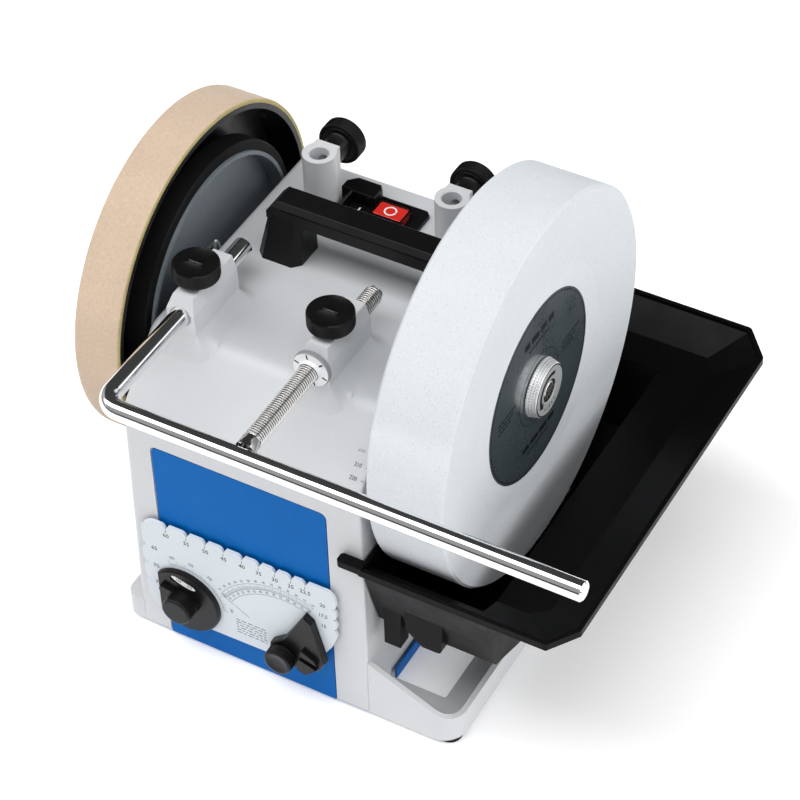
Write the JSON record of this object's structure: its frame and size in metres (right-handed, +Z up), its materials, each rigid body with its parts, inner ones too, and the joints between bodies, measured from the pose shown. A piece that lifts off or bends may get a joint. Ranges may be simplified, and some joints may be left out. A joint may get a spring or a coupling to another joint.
{
  "type": "wet grinding sharpener",
  "caption": "Bench sharpening machine with a water-cooled grinding wheel, a leather honing wheel, a bar tool rest, a clip-on water trough and a magnetic angle gauge.",
  "frame": {"origin": "on the floor under the middle of the overall box", "axes": "+X along the shaft from the honing wheel to the grinding wheel, +Y away from the operator, +Z up"},
  "size_m": [0.378, 0.3452, 0.328],
  "materials": {
    "housing_silver": "fine satin silver paint over the moulding",
    "blue_sheet": "glossy blue paint on steel sheet",
    "screw_steel": "plain steel",
    "foot_rubber": "black rubber",
    "black_plastic": "fine grained black plastic",
    "black_soft": "soft black insert",
    "red_plastic": "red plastic with a white ring",
    "clear_plastic": "clear plastic",
    "bushing": "sintered bushing",
    "bright_steel": "bright turned steel",
    "chrome": "polished chrome",
    "stone": "open grained grey aluminium oxide stone",
    "label": "dark printed disc",
    "leather": "tan honing leather",
    "cast_alu": "light grey cast metal",
    "tyre_rubber": "black rubber tyre",
    "motor_iron": "laminated core",
    "grey_plastic": "grey plastic",
    "white_print": "white plastic with dark print",
    "magnet": "nickel coated magnet"
  },
  "bodies": {
    "machine": {"housing": "housing_silver", "foot_rail": "housing_silver", "left_front_sleeve": "housing_silver", "right_front_sleeve": "housing_silver", "left_rear_sleeve": "housing_silver", "right_rear_sleeve": "housing_silver", "blue_panel": "blue_sheet", "panel_screws": "screw_steel", "rubber_feet": "foot_rubber", "carry_handle": "black_plastic", "grip_insert": "black_soft", "handle_screws": "screw_steel", "switch_body": "black_plastic", "switch_cover": "clear_plastic", "left_bushing": "bushing", "right_bushing": "bushing", "cord_gland": "black_plastic", "capacitor": "grey_plastic", "capacitor_clamp": "screw_steel", "terminal_block": "grey_plastic", "motor_pivot_pin": "bright_steel"},
    "shaft": {"main_shaft": "bright_steel", "inner_flange": "cast_alu", "grinding_wheel": "stone", "wheel_label": "label", "honing_wheel_hub": "black_plastic", "honing_leather": "leather", "drive_disc": "cast_alu", "drive_tyre": "tyre_rubber", "hub_pin": "bright_steel"},
    "wheel_nut": {"wheel_nut": "bright_steel"},
    "honing_knob": {"honing_knob": "black_plastic"},
    "motor_unit": {"motor_cradle": "screw_steel", "motor_stator": "motor_iron", "motor_end_bells": "cast_alu"},
    "motor_rotor": {"motor_rotor": "motor_iron", "motor_shaft": "bright_steel", "cooling_fan": "black_plastic"},
    "support": {"support_bar": "chrome", "threaded_leg": "chrome"},
    "adjuster": {"micro_adjust_nut": "white_print"},
    "left_front_clamp": {"left_front_knob": "black_plastic", "left_front_stud": "bright_steel"},
    "right_front_clamp": {"right_front_knob": "black_plastic", "right_front_stud": "bright_steel"},
    "left_rear_clamp": {"left_rear_knob": "black_plastic", "left_rear_stud": "bright_steel"},
    "right_rear_clamp": {"right_rear_knob": "black_plastic", "right_rear_stud": "bright_steel"},
    "trough": {"water_trough": "black_plastic", "trough_magnet": "magnet"},
    "gauge": {"gauge_plate": "white_print", "gauge_magnets": "magnet"},
    "gauge_dial": {"gauge_dial": "black_plastic"},
    "gauge_pointer": {"gauge_pointer": "black_plastic"},
    "gauge_knob": {"gauge_knob": "black_plastic"},
    "start_button": {"start_button": "black_plastic"},
    "stop_button": {"stop_button": "red_plastic"}
  },
  "joints": [
    {"name": "shaft_spin", "type": "hinge", "parent": "machine", "child": "shaft", "pos_m": [-0.021, 0.00465, 0.203], "axis": [1, 0, 0], "continuous": true},
    {"name": "wheel_nut_turn", "type": "hinge", "parent": "shaft", "child": "wheel_nut", "pos_m": [0.079, 0.00465, 0.203], "axis": [1, 0, 0], "continuous": true},
    {"name": "honing_knob_turn", "type": "hinge", "parent": "shaft", "child": "honing_knob", "pos_m": [-0.181, 0.00465, 0.203], "axis": [1, 0, 0], "continuous": true},
    {"name": "motor_swing", "type": "hinge", "parent": "machine", "child": "motor_unit", "pos_m": [-0.071, 0.06465, 0.053], "axis": [1, 0, 0], "range_deg": [-4, 0]},
    {"name": "motor_spin", "type": "hinge", "parent": "motor_unit", "child": "motor_rotor", "pos_m": [-0.071, 0.04965, 0.12501], "axis": [1, 0, 0], "continuous": true},
    {"name": "support_slide", "type": "slide", "parent": "machine", "child": "support", "axis": [0, -1, 0], "range_m": [0, 0.045]},
    {"name": "adjuster_turn", "type": "hinge", "parent": "support", "child": "adjuster", "pos_m": [-0.023, -0.08635, 0.2511], "axis": [0, -1, 0], "continuous": true},
    {"name": "left_front_knob_turn", "type": "hinge", "parent": "machine", "child": "left_front_clamp", "pos_m": [-0.113, -0.06395, 0.267], "axis": [0, 0, 1], "range_deg": [0, 360]},
    {"name": "right_front_knob_turn", "type": "hinge", "parent": "machine", "child": "right_front_clamp", "pos_m": [-0.023, -0.06395, 0.267], "axis": [0, 0, 1], "range_deg": [0, 360]},
    {"name": "left_rear_knob_turn", "type": "hinge", "parent": "machine", "child": "left_rear_clamp", "pos_m": [-0.0998, 0.07715, 0.2675], "axis": [0, 1, 0], "range_deg": [0, 360]},
    {"name": "right_rear_knob_turn", "type": "hinge", "parent": "machine", "child": "right_rear_clamp", "pos_m": [-0.009, 0.07715, 0.2675], "axis": [0, 1, 0], "range_deg": [0, 360]},
    {"name": "trough_slide", "type": "slide", "parent": "machine", "child": "trough", "axis": [0, 0, -1], "range_m": [0, 0.025]},
    {"name": "gauge_lift", "type": "slide", "parent": "machine", "child": "gauge", "axis": [0, -1, 0], "range_m": [0, 0.03]},
    {"name": "gauge_dial_turn", "type": "hinge", "parent": "gauge", "child": "gauge_dial", "pos_m": [-0.105, -0.11935, 0.0455], "axis": [0, -1, 0], "range_deg": [-30, 60]},
    {"name": "gauge_pointer_swing", "type": "hinge", "parent": "gauge", "child": "gauge_pointer", "pos_m": [-0.033, -0.11935, 0.036], "axis": [0, -1, 0], "range_deg": [-10, 65]},
    {"name": "gauge_knob_turn", "type": "hinge", "parent": "gauge_pointer", "child": "gauge_knob", "pos_m": [-0.033, -0.11935, 0.036], "axis": [0, -1, 0], "range_deg": [0, 360]},
    {"name": "start_button_press", "type": "slide", "parent": "machine", "child": "start_button", "axis": [0, 0, -1], "range_m": [0, 0.003], "stiffness_N_per_m": 800},
    {"name": "stop_button_press", "type": "slide", "parent": "machine", "child": "stop_button", "axis": [0, 0, -1], "range_m": [0, 0.003], "stiffness_N_per_m": 800}
  ],
  "couplings": [
    {"joint": "motor_spin", "follows": "shaft_spin", "ratio": -15.505}
  ]
}
